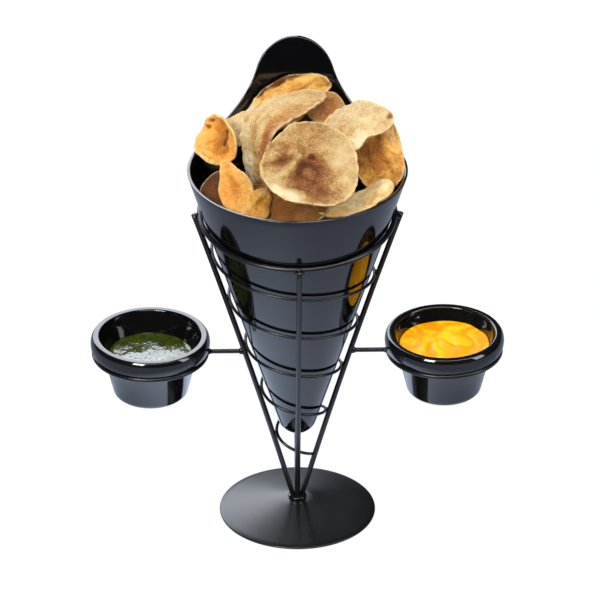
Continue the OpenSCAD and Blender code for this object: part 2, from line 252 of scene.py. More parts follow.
def yellow_sauce():
    """Wet yellow sauce, thick enough to hold its stirred ridges."""
    f = Finish("yellow_sauce")
    body = f.noise(60, 3.0, 0.55, twist=1.6)
    fine = f.noise(420, 3.0)
    colour = f.mix(body.ramp(0.35, 0.68), (0.94, 0.31, 0.001), (1.0, 0.56, 0.006))
    colour = f.mix(fine.ramp(0.62, 0.8) * 0.25, colour, (1.0, 0.62, 0.03))
    return f.surface(Base_Color=colour, Roughness=0.3 + 0.12 * fine, IOR=1.4, Specular_IOR_Level=0.1,
                     Normal=f.bump(fine, 0.1, 0.0005), Subsurface_Weight=0.1, Subsurface_Scale=0.003,
                     Subsurface_Radius=(1.0, 0.5, 0.1))


def fried_slice(name, light, middle, burnt, speckle, shift):
    """Fried potato slice: pebbled and mottled, browned where its toast and painted relief shade are high and
    pale where they are low; some pale spots are painted light, and the pale edge band is partly a painted
    edge highlight.
    """
    f = Finish(name)
    toast_and_shade = f.attribute("toast_and_shade")
    rim = f.attribute("rim")
    blotch = f.noise(70, 4.0, 0.6, shift, twist=0.8)
    mottle = f.noise(230, 5.0, 0.7, shift)
    grain = f.noise(760, 3.0, 0.65, shift)
    tone = (blotch + 0.7 * mottle + 0.45 * toast_and_shade - 0.35).ramp(0.3, 0.8)
    colour = f.mix(tone, light, middle)
    crumbs = (0.4 * mottle - 0.35 * toast_and_shade - 0.9 * grain + 0.8).ramp(0.52, 0.72)
    colour = f.mix(crumbs * 0.5, colour, f.mix(0.65 * light[0], light, (0.93, 0.79, 0.5)))
    # Pale where the value is below 0: painted light where spots lift shaded sides and on ridge tops, the
    # chip's own pale patches elsewhere
    pale = (0 - toast_and_shade).ramp(0.2, 0.95)
    colour = f.mix(pale * 0.75, colour, (0.88, 0.75, 0.51))
    # Browned by real toast and by the painted relief shade in the valleys of blisters and creases
    browned_and_valley_shade = (0.9 * toast_and_shade + 0.5 * mottle - 0.25).ramp(0.1, 0.9)
    colour = f.mix(browned_and_valley_shade * 0.7, colour, f.mix(0.35, burnt, (0.75, 0.32, 0.09)))
    flecks = (0.9 * grain + 0.35 * mottle + 0.24 * toast_and_shade).ramp(0.62, 0.82)
    colour = f.mix((flecks * (speckle + 0.4 * toast_and_shade)).clamped(), colour, burnt)
    # Darkest browning, with the painted relief shade deepest in the valleys
    deep_brown_and_valley_shade = (0.8 * toast_and_shade + 0.5 * mottle + 0.6 * grain - 0.55).ramp(0.6, 1.0)
    colour = f.mix(deep_brown_and_valley_shade * 0.8, colour, f.mix(0.7, burnt, (0.03, 0.01, 0.003)))
    # Band along the edge: paler there, partly the thin edge's own colour and partly a painted highlight where
    # light catches the rim; the next line browns it in spots
    edge_highlight_and_scorch = rim.ramp(0.93, 1.0)
    colour = f.mix(edge_highlight_and_scorch * 0.5, colour, (0.95, 0.74, 0.38))
    colour = f.mix((edge_highlight_and_scorch * mottle.ramp(0.5, 0.62) * (speckle + toast_and_shade)).clamped(), colour, burnt)
    height = 0.9 * mottle + 0.6 * grain - 0.2 * flecks
    return f.surface(Base_Color=colour, Roughness=0.4 + 0.25 * mottle, IOR=1.4, Specular_IOR_Level=0.35,
                     Normal=f.bump(height, 1.0, 0.0026), Coat_Weight=0.06, Coat_Roughness=0.2,
                     Subsurface_Weight=0.35, Subsurface_Scale=0.0025, Subsurface_Radius=(1.0, 0.45, 0.12))


# Modelling helpers

def piece_from(bm, name, finish, nodes=()):
    """A finished piece at the origin, which rides on the stand and stands for the given nodes."""
    mesh = bpy.data.meshes.new(name)
    bm.to_mesh(mesh)
    bm.free()
    for polygon in mesh.polygons:
        polygon.use_smooth = True
    mesh.materials.append(finish)
    piece = bpy.data.objects.new(name, mesh)
    scene.collection.objects.link(piece)
    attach(piece, "root")
    if nodes:
        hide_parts(*nodes)
    return piece


def settled(piece):
    """Puts a piece's modifiers into its mesh."""
    graph = bpy.context.evaluated_depsgraph_get()
    mesh = bpy.data.meshes.new_from_object(piece.evaluated_get(graph))
    piece.modifiers.clear()
    piece.data = mesh
    for polygon in mesh.polygons:
        polygon.use_smooth = True
    return piece


def soften(piece, width, segments):
    """Rounds a piece's sharp edges, with a width in millimetres."""
    soft = piece.modifiers.new("edge", "BEVEL")
    soft.width = width * MM
    soft.segments = segments
    soft.limit_method = "ANGLE"
    soft.angle_limit = math.radians(50)
    return settled(piece)


def around(r, a, z):
    """A place at a radius from the cone's axis, in one direction, at a height."""
    return r * math.cos(a), r * math.sin(a), z


def turned_round(bm, geometry, steps, merge):
    """Spins a line or a loop once about the upright axis and closes its seam."""
    bmesh.ops.spin(bm, geom=geometry, cent=(0, 0, 0), axis=(0, 0, 1), angle=math.tau, steps=steps,
                   use_merge=True)
    bmesh.ops.remove_doubles(bm, verts=bm.verts, dist=merge)
    bmesh.ops.recalc_face_normals(bm, faces=bm.faces)


def line_of(bm, points):
    """A line of vertices and edges."""
    verts = [bm.verts.new(p) for p in points]
    return verts + [bm.edges.new(pair) for pair in zip(verts, verts[1:])]


def arc(centre, r, start, end, steps=16):
    """Points along an arc of an outline, in degrees."""
    turns = [math.radians(start + (end - start) * i / steps) for i in range(steps + 1)]
    return [(centre[0] + r * math.cos(a), centre[1] + r * math.sin(a)) for a in turns]


def spun(outline, steps, at=(0, 0, 0)):
    """A turned shape from an outline of radius and height, about the upright axis through a place."""
    bm = bmesh.new()
    turned_round(bm, line_of(bm, [(x * MM, 0, z * MM) for x, z in outline]), steps, 1e-6)
    bmesh.ops.translate(bm, verts=bm.verts, vec=Vector(at) * MM)
    return bm


def wire(points, d, closed=False, rounding=0.3):
    """A round wire along points in millimetres, with its cut ends softened."""
    curve = bpy.data.curves.new("wire_line", "CURVE")
    curve.dimensions = "3D"
    curve.bevel_depth = d / 2 * MM
    curve.bevel_resolution = 6
    curve.use_fill_caps = True
    line = curve.splines.new("POLY")
    line.points.add(len(points) - 1)
    for knot, p in zip(line.points, points):
        knot.co = (*(Vector(p) * MM), 1)
    line.use_cyclic_u = closed
    carrier = bpy.data.objects.new("wire_line", curve)
    scene.collection.objects.link(carrier)
    graph = bpy.context.evaluated_depsgraph_get()
    mesh = bpy.data.meshes.new_from_object(carrier.evaluated_get(graph))
    bm = bmesh.new()
    bm.from_mesh(mesh)
    bpy.data.meshes.remove(mesh)
    bpy.data.objects.remove(carrier)
    bpy.data.curves.remove(curve)
    bmesh.ops.remove_doubles(bm, verts=bm.verts, dist=1e-7)
    caps = [f for f in bm.faces if len(f.verts) > 4]
    if caps and rounding:
        rims = list({e for f in caps for e in f.edges})
        bmesh.ops.bevel(bm, geom=rims, offset=rounding * d / 2 * MM, affect="EDGES", segments=4, profile=0.5,
                        material=-1)
    bmesh.ops.recalc_face_normals(bm, faces=bm.faces)
    return bm


def ring(r, d, z, x):
    """A closed ring of round wire."""
    bm = bmesh.new()
    circle = bmesh.ops.create_circle(bm, segments=20, radius=d / 2 * MM)
    turn = Matrix.Translation((r * MM, 0, 0)) @ Matrix.Rotation(math.pi / 2, 4, "X")
    bmesh.ops.transform(bm, matrix=turn, verts=circle["verts"])
    turned_round(bm, bm.verts[:] + bm.edges[:], 160, 1e-7)
    bmesh.ops.translate(bm, verts=bm.verts, vec=(x * MM, 0, z * MM))
    return bm


def bead(bm, place, along, size):
    """A weld bead: a lumpy drop with its last half size along a direction, in millimetres."""
    made = bmesh.ops.create_icosphere(bm, subdivisions=3, radius=1)
    for v in made["verts"]:
        v.co *= 1 + 0.1 * noise.noise(v.co * 1.7 + Vector(place) * 0.13)
    turn = Vector(along).to_track_quat("Z", "Y").to_matrix().to_4x4()
    grow = Matrix.Diagonal((*(Vector(size) * MM), 1))
    move = Matrix.Translation(Vector(place) * MM)
    bmesh.ops.transform(bm, matrix=move @ turn @ grow, verts=made["verts"])


# Base plate: a dished sheet with a softened edge and centre

coat = powder_coat("powder_coat_black", 0.24)
weld_coat = powder_coat("weld_black", 0.08)
lip = BASE_SHEET / 2
base_slope = (BASE_H - BASE_SHEET) / (BASE_R - lip - BASE_CENTRE_R)
base = spun([(0, BASE_H - BASE_SHEET), (BASE_CENTRE_R, BASE_H - BASE_SHEET), (BASE_R - BASE_FOOT, 0)]
            + arc((BASE_R - lip, lip), lip, -90, 78, 8)
            + [(BASE_R - BASE_FOOT, BASE_SHEET + base_slope * (BASE_FOOT - lip)), (BASE_CENTRE_R, BASE_H),
               (0, BASE_H)], 160)


def gentle_crease(edge):
    """Whether an edge runs level round the sheet where its slope changes, inside the lip."""
    first, second = (v.co for v in edge.verts)
    level = abs(first.z - second.z) < 1e-6
    inside = first.xy.length < (BASE_R - BASE_FOOT + lip) * MM
    return len(edge.link_faces) == 2 and level and inside and 0.08 < edge.calc_face_angle() < 0.6


creases = [e for e in base.edges if gentle_crease(e)]
bmesh.ops.bevel(base, geom=creases, offset=BASE_SOFTENING * MM, affect="EDGES", segments=5, profile=0.5,
                material=-1)
piece_from(base, "base_dish", coat, ["base_plate"])

# Wire cone: uprights, top ring and spiral

DIRECTIONS = {"front": 270, "right": 0, "back": 90, "left": 180}
UPRIGHT_STEPS, RING_STEPS, SPIRAL_STEPS = 48, 180, 380
SPIRAL_START = 90


def spiral_at(t):
    """Direction and height of the spiral at a share of its length."""
    a = math.radians(SPIRAL_START + 360 * SPIRAL_TURNS * t)
    return a, SPIRAL_TOP_Z + (SPIRAL_LOW_Z - SPIRAL_TOP_Z) * t


for side, degrees in DIRECTIONS.items():
    a = math.radians(degrees)
    rise = ring_z(a) + RING_DROP - upright_foot.y
    heights = [upright_foot.y + rise * i / UPRIGHT_STEPS for i in range(UPRIGHT_STEPS + 1)]
    upright = wire([around(upright_r(z), a, z) for z in heights], UPRIGHT_D, rounding=0.55)
    piece_from(upright, "upright_wire_" + side, coat, ["upright_" + side])

ring_turns = [math.tau * i / RING_STEPS for i in range(RING_STEPS)]
ring_line = [around(inside_r(ring_z(a), RING_D), a, ring_z(a)) for a in ring_turns]
piece_from(wire(ring_line, RING_D, closed=True), "top_ring_wire", coat, ["top_ring"])

spiral_places = [spiral_at(i / SPIRAL_STEPS) for i in range(SPIRAL_STEPS + 1)]
spiral_line = [around(inside_r(z, SPIRAL_D), a, z) for a, z in spiral_places]
piece_from(wire(spiral_line, SPIRAL_D, rounding=0.5), "spiral", coat, ["spiral_wire"])

# Arms and holder rings
for side, sign in (("left", -1), ("right", 1)):
    start, end = upright_r(HOLDER_Z) + UPRIGHT_D * 0.3, REACH - HOLDER_R - HOLDER_D * 0.3
    line = [(sign * (start + (end - start) * i / 8), 0, HOLDER_Z) for i in range(9)]
    piece_from(wire(line, ARM_D, rounding=0), "arm_wire_" + side, coat, ["arm_" + side])
    piece_from(ring(HOLDER_R, HOLDER_D, HOLDER_Z, sign * REACH), "holder_wire_" + side, coat,
               ["holder_ring_" + side])

# Weld beads where the wires meet, by their half sizes in millimetres. At each upright the ring has one bead
# below its middle and one above.
RING_BEADS = {-1.9: (1.3, 1.3, 3.4), 0.8: (0.9, 0.9, 2.0)}
ARM_BEAD, HOLDER_BEAD = (2.1, 2.3, 2.2), (1.9, 1.9, 2.4)
SPIRAL_BEAD, FOOT_BEAD = (0.9, 0.9, 1.7), (6.2, 6.2, 1.6)
FOOT_BEAD_RISE = 0.8
welds = bmesh.new()
for degrees in DIRECTIONS.values():
    a = math.radians(degrees)
    z = ring_z(a)
    r = (upright_r(z) + inside_r(z, RING_D)) / 2
    for rise, size in RING_BEADS.items():
        bead(welds, around(r, a, z + rise), (-math.sin(a), math.cos(a), 0), size)
for sign in (-1, 1):
    inner, outer = upright_r(HOLDER_Z) + UPRIGHT_D * 0.55, REACH - HOLDER_R - HOLDER_D * 0.5
    bead(welds, (sign * inner, 0, HOLDER_Z), (sign, 0, 0), ARM_BEAD)
    bead(welds, (sign * outer, 0, HOLDER_Z), (0, 1, 0), HOLDER_BEAD)
for crossing in range(int(4 * SPIRAL_TURNS) + 1):
    a, z = spiral_at(crossing / 4 / SPIRAL_TURNS)
    r = inside_r(z, SPIRAL_D) + SPIRAL_D * 0.45
    bead(welds, around(r, a, z), (-math.sin(a), math.cos(a), 0), SPIRAL_BEAD)
bead(welds, (0, 0, BASE_H + FOOT_BEAD_RISE), (0, 0, 1), FOOT_BEAD)
piece_from(welds, "weld_beads", weld_coat)

# Cone liner: a turned sheet whose top edge follows the rim and the bell-shaped tab, then given its wall
tab_cap_z = TAB_Z - TAB_CAP_R
tab_sweep_z = RIM_Z + TAB_SWEEP_R
tab_sweep_x = math.sqrt((TAB_CAP_R + TAB_SWEEP_R) ** 2 - (tab_sweep_z - tab_cap_z) ** 2)
tab_turn = math.atan2(tab_sweep_z - tab_cap_z, tab_sweep_x)


def tab_height(x):
    """Height of the liner's edge at the back, at a distance from its middle."""
    x = abs(x)
    if x >= tab_sweep_x:
        return RIM_Z
    if x <= TAB_CAP_R * math.cos(tab_turn):
        return tab_cap_z + math.sqrt(TAB_CAP_R ** 2 - x ** 2)
    return tab_sweep_z - math.sqrt(TAB_SWEEP_R ** 2 - (x - tab_sweep_x) ** 2)


def edge_height(v, inset=0.0):
    """Height of the liner's edge in the direction of a vertex, on its outside or at an inset from it."""
    if v.co.y <= 0:
        return RIM_Z
    share = v.co.x / v.co.xy.length
    low, high = RIM_Z, TAB_Z
    for _ in range(40):
        middle = (low + high) / 2
        if middle < tab_height((liner_r(middle) - inset) * share):
            low = middle
        else:
            high = middle
    return low


wall_low = TIP_Z - TIP_R * math.sin(TAPER)
wall_steps = 36
tip = arc((0, TIP_Z), TIP_R, -90, -math.degrees(TAPER), 14)
wall_heights = [wall_low + (RIM_Z - wall_low) * i / wall_steps for i in range(1, wall_steps + 1)]
wall = [(liner_r(z), z) for z in wall_heights]
liner = spun(tip + wall, 288)
for v in liner.verts:
    z = v.co.z / MM
    if z > wall_low + 0.01:
        z = wall_low + (edge_height(v) - wall_low) * (z - wall_low) / (RIM_Z - wall_low)
        v.co = (*(v.co.xy.normalized() * liner_r(z) * MM), z * MM)
if sum(f.normal.dot((*f.calc_center_median().xy, 0)) for f in liner.faces) < 0:
    bmesh.ops.reverse_faces(liner, faces=liner.faces)
liner_gloss = gloss_black("liner_gloss", (0.0015, 0.0015, 0.0019), (0.003, 0.003, 0.0037), 0.04)
shell = piece_from(liner, "liner_shell", liner_gloss, ["cone_liner"])
thick = shell.modifiers.new("wall", "SOLIDIFY")
thick.thickness = LINER_WALL * MM
thick.offset = -1
thick.use_even_offset = True
settled(shell)

# The wall's new inside is drawn down towards the edge, so that the rim between the two is level
inset = LINER_WALL / math.cos(TAPER)
half = len(shell.data.vertices) // 2
for outer, inner in zip(shell.data.vertices[:half], shell.data.vertices[half:]):
    edge = edge_height(outer)
    share = max(0.0, 2 * (outer.co.z / MM - wall_low) / (edge - wall_low) - 1)
    if share > 0:
        z = inner.co.z / MM - (edge + LINER_WALL * math.sin(TAPER) - edge_height(inner, inset)) * share
        inner.co = (*(inner.co.xy.normalized() * (liner_r(z) - inset) * MM), z * MM)
soften(shell, LINER_EDGE_ROUND, 4)

# Ramekins: turned cups with a rolled collar and a flat rim
ramekin_gloss = gloss_black("ramekin_gloss", (0.003, 0.003, 0.0034), (0.005, 0.005, 0.0058), 0.06)
bowl_r = 2 * RAMEKIN_WALL
floor_r = FOOT_R - 2 * RAMEKIN_WALL
collar_z = RAMEKIN_H - COLLAR_H
collar_arc_r = ((COLLAR_H / 2) ** 2 + COLLAR_BULGE ** 2) / (2 * COLLAR_BULGE)
collar_turn = math.degrees(math.asin(COLLAR_H / 2 / collar_arc_r))
rim_round = RIM_W / 4
neck_r = MOUTH_R - RAMEKIN_WALL / 2
bowl_lean = math.degrees(math.atan2(MOUTH_R - floor_r, RAMEKIN_H - FLOOR_T - bowl_r))
wall_lean = math.degrees(math.atan2(neck_r - FOOT_R, collar_z - bowl_r))


def bowl_radius(z):
    """Radius of a ramekin's inside at a height above its foot."""
    return floor_r + (MOUTH_R - floor_r) * (z - FLOOR_T - bowl_r) / (RAMEKIN_H - FLOOR_T - bowl_r)


BOWL_HEIGHTS = (39, 36, 32, 28, 24, 20, 16, 12)
under_z = collar_z + COLLAR_LOW_ROUND
ramekin_outline = (
    [(0, 0)] + arc((FOOT_R - bowl_r, bowl_r), bowl_r, -90, -wall_lean, 10)
    + [(neck_r - 0.5, collar_z - COLLAR_UNDERCUT), (neck_r, collar_z - 0.1),
       (neck_r + COLLAR_UNDERCUT, collar_z)]
    + arc((COLLAR_EDGE_R - COLLAR_LOW_ROUND, under_z), COLLAR_LOW_ROUND, -90, -20, 6)
    + arc((COLLAR_R - collar_arc_r, collar_z + COLLAR_H / 2), collar_arc_r,
          -collar_turn * 0.8, collar_turn * 0.6, 14)
    + arc((COLLAR_EDGE_R - rim_round, RAMEKIN_H - rim_round), rim_round, 40, 90, 8)
    + arc((MOUTH_R + rim_round, RAMEKIN_H - rim_round), rim_round, 90, 180, 10)
    + [(bowl_radius(z), z) for z in BOWL_HEIGHTS]
    + arc((floor_r - bowl_r, FLOOR_T + bowl_r), bowl_r, -bowl_lean, -90, 10) + [(0, FLOOR_T)])
for side, sign in (("left", -1), ("right", 1)):
    cup = spun(ramekin_outline, 160, (sign * REACH, 0, RAMEKIN_Z))
    piece_from(cup, "ramekin_cup_" + side, ramekin_gloss, ["ramekin_" + side])


# Dips: turned fills with a shaped top

def fill(depth):
    """A turned fill of a ramekin up to a depth below its rim, with a finely ringed top."""
    top = RAMEKIN_H - depth
    edge = bowl_radius(top) - SEAT_GAP
    side = [(bowl_radius(z) - SEAT_GAP, z) for z in (12, 18, 24, top - 1.2)]
    face = [(edge * (1 - i / 44), top) for i in range(45)]
    bottom = arc((floor_r - bowl_r, FLOOR_T + bowl_r), bowl_r - SEAT_GAP, -90, -bowl_lean, 6)
    return spun([(0, FLOOR_T + SEAT_GAP)] + bottom + side + face, 160), top, edge


def waver(p, scale, shift=(0, 0, 0)):
    """Smooth noise at a place, which repeats in every run."""
    return noise.noise(p * scale + Vector(shift))


def herb_top(p, near):
    """Height of the green sauce's top: a soft swell with grains, drawn up at its edge."""
    swell = waver(p, 0.07, (3, 1, 0)) * 0.7 + waver(p, 0.22) * 0.12
    grains = max(0.0, waver(p, 0.75, (9, 4, 2))) * 0.2
    return (swell + grains) * (1 - near ** 6) + 0.9 * near ** 14


def stirred_top(p, near):
    """Height of the yellow sauce's top: stirred ridges that wind about a point, drawn up at its edge."""
    q = p + Vector((waver(p, 0.06), waver(p, 0.06, (7, 7, 0)), 0)) * 5
    turn = math.atan2(q.y - 4, q.x + 6)
    ridges = math.sin(q.length * 0.62 - 1.5 * turn + 2.2 * waver(p, 0.08, (2, 5, 0)))
    shape = 0.42 * ridges * (0.55 + 0.45 * waver(p, 0.05, (1, 8, 3))) * (1 - near ** 8)
    return shape + near ** 12 * (0.6 + waver(p, 0.09))


def dip(name, depth, top_height, x, finish, node):
    """A dip in the ramekin at a place along X, with its top's height from a function."""
    bm, top, edge = fill(depth)
    for v in bm.verts:
        if v.co.z / MM > top - 0.01:
            p = Vector((v.co.x, v.co.y, 0)) / MM
            v.co.z += top_height(p, p.length / edge) * MM
    bmesh.ops.translate(bm, verts=bm.verts, vec=(x * MM, 0, RAMEKIN_Z * MM))
    piece_from(bm, name, finish, [node])


dip("green_sauce", GREEN_DEPTH, herb_top, -REACH, herb_sauce(), "green_dip")
dip("yellow_sauce", YELLOW_DEPTH, stirred_top, REACH, yellow_sauce(), "yellow_dip")

# Chips. Each row: half width and length, place, tilt turn and spin, bend, share that bends, wave of the edge,
# where it starts, and the outline every 45 degrees. Sizes and places are shares of the liner's mouth radius.
CHIPS = {
    "chip_bed_back": ((0.46, 0.44), (0.09, 0.49, -0.48), (27, -84, 89), 22, 1, 0, 0,
        (1, 0.95, 1.05, 1, 0.95, 1, 0.95, 1.05)),
    "chip_bed_front": ((0.4, 0.36), (-0.17, -0.505, -0.535), (23, 67, -45), 20, 1, 0, 0,
        (1.05, 1, 0.95, 1, 1, 0.95, 1.05, 1)),
    "chip_top": ((0.46, 0.25), (-0.13, 0.725, 0.29), (24, -141, 154), -26, 1, 0.05, 200,
        (0.95, 1.5, 1.25, 1.1, 0.9, 1, 1, 0.95)),
    "chip_behind": ((0.18, 0.18), (0.28, 0.59, 0.315), (45, -67, 135), 15, 1, 0, 0,
        (1, 0.95, 1, 1.05, 1, 0.95, 1, 1.05)),
    "chip_back_left": ((0.22, 0.17), (-0.54, 0.6, 0.1), (36, -122, 132), 20, 1, 0, 0,
        (1, 1.05, 0.95, 1, 1, 0.95, 1, 1)),
    "chip_arch": ((0.68, 0.24), (-0.34, 0.195, 0.37), (47, -156, -171), -47, 0.4, 0, 0,
        (1.1, 1.35, 1.05, 1.1, 1, 1.1, 1.15, 1.1)),
    "chip_curl": ((0.28, 0.25), (-0.73, 0.415, 0.065), (48, -134, 170), 60, 0.6, 0, 0,
        (1, 1.05, 1, 0.9, 1, 1.1, 1, 0.95)),
    "chip_golden": ((0.25, 0.42), (0.72, 0, 0.225), (66, -89, 106), 20, 1, 0, 0,
        (1, 1.05, 1, 0.95, 1, 1.05, 1, 1.05)),
    "chip_edge": ((0.37, 0.16), (0.555, -0.35, -0.17), (19, -155, 169), 20, 1, 0, 0,
        (1, 1.05, 0.85, 0.7, 1.05, 1, 0.95, 1.1)),
    "chip_pale": ((0.3, 0.33), (0.535, -0.145, 0.5), (24, -122, 79), -20, 1, 0, 0,
        (0.55, 1.15, 1, 1.15, 1.25, 1.1, 0.8, 0.75)),
    "chip_shade": ((0.18, 0.19), (-0.735, -0.25, -0.075), (32, -114, 119), 12, 1, 0, 0,
        (1, 1.05, 1, 0.9, 1, 1, 1, 0.95)),
    "chip_under": ((0.31, 0.2), (-0.015, -0.405, -0.165), (40, -92, 90), 12, 1, 0, 0,
        (1, 0.95, 1, 1.05, 1.1, 1.1, 1, 1)),
    "chip_pale_low": ((0.18, 0.15), (0.37, -0.24, -0.2), (31, -75, 85), 10, 1, 0, 0,
        (0.95, 1, 1.05, 1, 1, 0.95, 1, 1.05)),
    "chip_sliver": ((0.11, 0.05), (-0.385, -0.1, -0.15), (27, -52, 73), 10, 1, 0, 0,
        (1, 1.05, 1, 1, 1, 1.05, 1, 0.95)),
    "chip_leaf": ((0.18, 0.265), (-0.595, -0.33, -0.01), (55, -99, 116), 35, 1, 0, 0,
        (1, 0.8, 1.05, 0.7, 0.8, 0.95, 1, 1.05)),
    "chip_corner": ((0.17, 0.165), (-0.415, -0.525, -0.085), (44, -75, 83), -25, 1, 0, 0,
        (1, 1.25, 0.75, 0.7, 0.95, 1, 1, 1)),
    "chip_round": ((0.47, 0.455), (0.105, -0.455, 0.305), (35, -87, 86), 18, 1, 0.05, 40,
        (0.95, 0.93, 1, 0.86, 0.95, 1.05, 0.97, 1.08)),
}

# Colours of the fried slices
CREAM, PALE, STRAW = (0.84, 0.66, 0.37), (0.68, 0.43, 0.18), (0.93, 0.55, 0.13)
GOLD, AMBER, ORANGE = (0.58, 0.32, 0.10), (0.64, 0.28, 0.045), (0.86, 0.36, 0.035)
TAN, BROWN, RUST = (0.46, 0.22, 0.07), (0.15, 0.04, 0.01), (0.31, 0.09, 0.018)
# Each chip's light, middle and browned colour, its flecks, and its spots: place, radius and strength, browned
# above 0 and paler below.
# Places and radii are shares of the chip's outline. Some paler spots are painted light on sides in shade, and
# some chips' colours hold painted shade or painted light, as marked.
LOOKS = {
    "chip_bed_back": (GOLD, TAN, BROWN, 0.5, []),
    "chip_bed_front": (GOLD, TAN, BROWN, 0.5, []),
    "chip_top": (STRAW, AMBER, BROWN, 0.15, [
        (0.45, 0.1, 0.3, 0.8), (0.7, 0.45, 0.25, 0.7), (-0.2, 0.95, 0.16, 2.2), (0.1, 1.05, 0.18, 2.2),
        (0.4, 1.0, 0.16, 1.8), (-0.8, 0.25, 0.5, -1.1), (-0.6, 0.75, 0.3, -1.1)]),
    "chip_behind": ((0.46, 0.22, 0.06), (0.38, 0.15, 0.03), RUST, 0.4, [(0, 0, 0.6, 0.4)]),
    "chip_back_left": (CREAM, PALE, TAN, 0.3, []),
    "chip_arch": ((0.7, 0.485, 0.2), (0.53, 0.285, 0.08), RUST, 0.45, [
        # The pale spot at (-0.55, 0.5) is painted light on the arch's shaded leg
        (-0.15, 0.2, 0.4, 0.3), (0.5, -0.6, 0.5, 0.4), (-0.15, -0.7, 0.35, 0.7), (-0.55, 0.5, 0.55, -1.1),
        (0.3, 0.4, 0.4, -0.4)]),
    "chip_curl": (STRAW, ORANGE, RUST, 0.2, [
        (0, 0.1, 0.4, 0.3), (0.3, -0.25, 0.2, 1.3), (0.05, -0.5, 0.22, 1.1), (-0.2, 0.4, 0.2, 0.6),
        (0.35, 0.73, 0.1, 1.7), (0.62, 0.62, 0.09, 1.6), (-0.7, -0.2, 0.35, -0.7)]),
    "chip_golden": ((0.87, 0.48, 0.1), (0.44, 0.17, 0.02), RUST, 0.15, [
        # The pale spot at (0.75, 0.3) is a painted glow where light shines through the golden chip's right
        # side
        (-0.35, -0.1, 0.6, 0.6), (0.75, 0.3, 0.4, -0.5), (-0.4, -0.75, 0.3, -0.4)]),
    # The edge chip's colours are raised to paint light onto it where it lies in the round chip's shade
    "chip_edge": ((1.0, 0.76, 0.42), (1.0, 0.56, 0.16), RUST, 0.12, [(0.3, -0.5, 0.3, 0.3)]),
    "chip_pale": ((0.72, 0.56, 0.3), (0.58, 0.385, 0.15), RUST, 0.3, [
        # The pale spot at (0.75, -0.45) is painted light on the pale chip's lower part, which bends away into
        # shade
        (-0.5, -0.3, 0.5, 0.2), (0.75, -0.45, 0.6, -1.3), (0.55, 0.8, 0.14, 1.6)]),
    # The shade chip's dark colours are painted shade: it lies in shadow low in the cone
    "chip_shade": ((0.11, 0.044, 0.012), (0.075, 0.027, 0.007), BROWN, 0.5, [(0, 0, 0.6, 0.6)]),
    # The under chip's dark colours are painted shade from the round chip above it
    "chip_under": ((0.32, 0.14, 0.03), (0.21, 0.08, 0.017), RUST, 0.3, [(-0.5, 0, 0.5, 0.35)]),
    "chip_pale_low": (CREAM, PALE, TAN, 0.3, []),
    "chip_sliver": (GOLD, RUST, BROWN, 0.4, [(0, 0, 0.7, 0.6)]),
    "chip_leaf": ((0.93, 0.5, 0.12), (0.86, 0.35, 0.045), RUST, 0.12, [(0, 0.1, 0.4, 0.3)]),
    "chip_corner": ((0.82, 0.46, 0.1), (0.7, 0.29, 0.032), RUST, 0.15, [(0.2, 0.2, 0.3, 0.25)]),
    "chip_round": ((0.57, 0.39, 0.16), (0.41, 0.215, 0.068), BROWN, 0.4, [
        (0, 0.19, 0.1, 1.8), (0.1, -0.05, 0.35, 1.25), (-0.12, -0.2, 0.3, 1.2), (0.1, -0.45, 0.5, 1.0),
        (-0.3, -0.45, 0.25, 0.8), (-0.6, 0.02, 0.22, 0.8), (-0.68, 0.28, 0.25, 0.7), (-0.35, 0.3, 0.3, 0.5),
        (0.1, 0.65, 0.4, 0.35), (-0.55, -0.68, 0.22, -1.0), (-0.28, -0.8, 0.22, -1.0), (0.6, 0.1, 0.45, -0.5),
        (0.65, -0.5, 0.3, -0.5)]),
}
# Creases: a raised or sunk line between two places, with its width, all in shares of the chip's outline, and
# its height in millimetres
CREASES = {
    "chip_round": [(-0.8, 0.1, -0.42, 0.3, 0.12, 1.8), (-0.9, -0.08, -0.42, 0.1, 0.07, -2.0),
                   (-0.24, 0.16, -0.35, -0.1, 0.08, 2.2), (-0.35, -0.1, -0.5, -0.28, 0.08, 2.2),
                   (-0.5, -0.28, -0.8, -0.42, 0.08, 2.0), (-0.12, 0.1, -0.22, -0.25, 0.09, -1.2),
                   (-0.7, -0.6, -0.13, -0.86, 0.13, 2.2)],
    "chip_pale": [(-0.6, 0.2, 0.3, 0.3, 0.12, 1.2), (0.1, 0.3, 0.5, 0.9, 0.12, 1.5),
                  (-0.5, -0.4, 0.5, -0.2, 0.15, -1.0)],
    "chip_top": [(-0.6, -0.2, 0.4, 0.5, 0.15, -1.6), (0.5, 0.3, 0.7, 0.9, 0.15, 1.5)],
    "chip_arch": [(-0.1, -0.3, 0.7, -0.2, 0.2, 1.4), (-0.8, 0.1, 0.2, 0.4, 0.15, -1.0)],
    "chip_curl": [(-0.5, -0.3, 0.6, 0.1, 0.35, -2.6), (-0.3, 0.9, 0.7, 0.7, 0.14, 1.6)],
    "chip_golden": [(-0.5, 0.3, 0.5, 0.5, 0.2, 1.2), (0.3, -0.6, 0.1, 0.2, 0.2, -1.2)],
    "chip_edge": [(-0.7, 0.1, 0.7, 0.1, 0.2, 1.2)],
    "chip_leaf": [(0, -0.7, 0, 0.7, 0.2, -1.2)],
    "chip_corner": [(-0.6, -0.5, 0.5, 0.6, 0.15, 1.2)],
}


def crease_height(name, x, y):
    """Height of a chip's creases at a place."""
    total = 0.0
    for x0, y0, x1, y1, width, height in CREASES.get(name, ()):
        along = Vector((x1 - x0, y1 - y0))
        start = Vector((x - x0, y - y0))
        share = max(0.0, min(1.0, start.dot(along) / along.length_squared))
        total += height * math.exp(-((start - along * share).length / width) ** 2)
    return total


